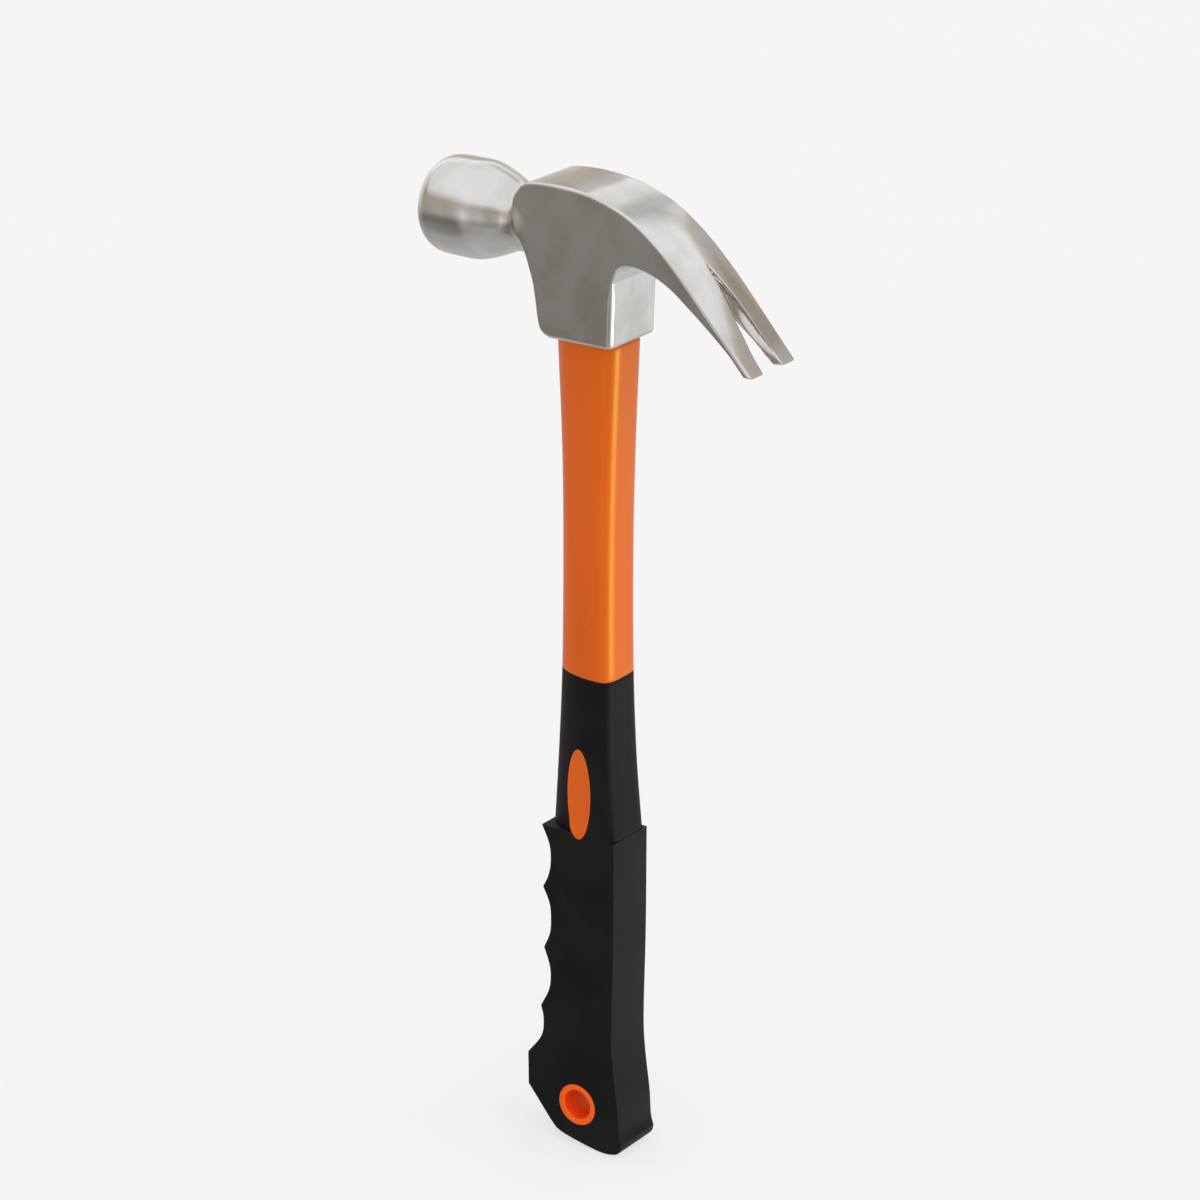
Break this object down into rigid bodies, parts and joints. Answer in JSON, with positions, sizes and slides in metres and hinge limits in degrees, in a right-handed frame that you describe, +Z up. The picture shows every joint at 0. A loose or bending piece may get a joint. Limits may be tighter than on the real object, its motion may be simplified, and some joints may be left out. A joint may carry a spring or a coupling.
{
  "type": "claw hammer",
  "caption": "Curved-claw hammer with a polished steel head bonded to a jacketed fibreglass handle, a rubber grip with finger grooves and a hang hole.",
  "frame": {"origin": "bottom centre of the bounding box, level with the lowest point of the butt, with the hammer upright", "axes": "+Z runs up along the handle to the head; -X is the way the striking face looks and +X the way the claws reach; the two cheeks face -Y and +Y"},
  "size_m": [0.126, 0.032, 0.3304],
  "materials": {
    "polished_steel": "polished",
    "epoxy": "satin",
    "fibreglass": "satin",
    "orange_plastic": "satin",
    "black_rubber": "matte"
  },
  "bodies": {
    "root": {"head": "polished_steel", "epoxy_bond": "epoxy", "fibreglass_core": "fibreglass", "handle_jacket": "orange_plastic", "rubber_grip": "black_rubber", "inlay_left": "orange_plastic", "inlay_right": "orange_plastic", "hang_eyelet": "orange_plastic"}
  },
  "joints": []
}
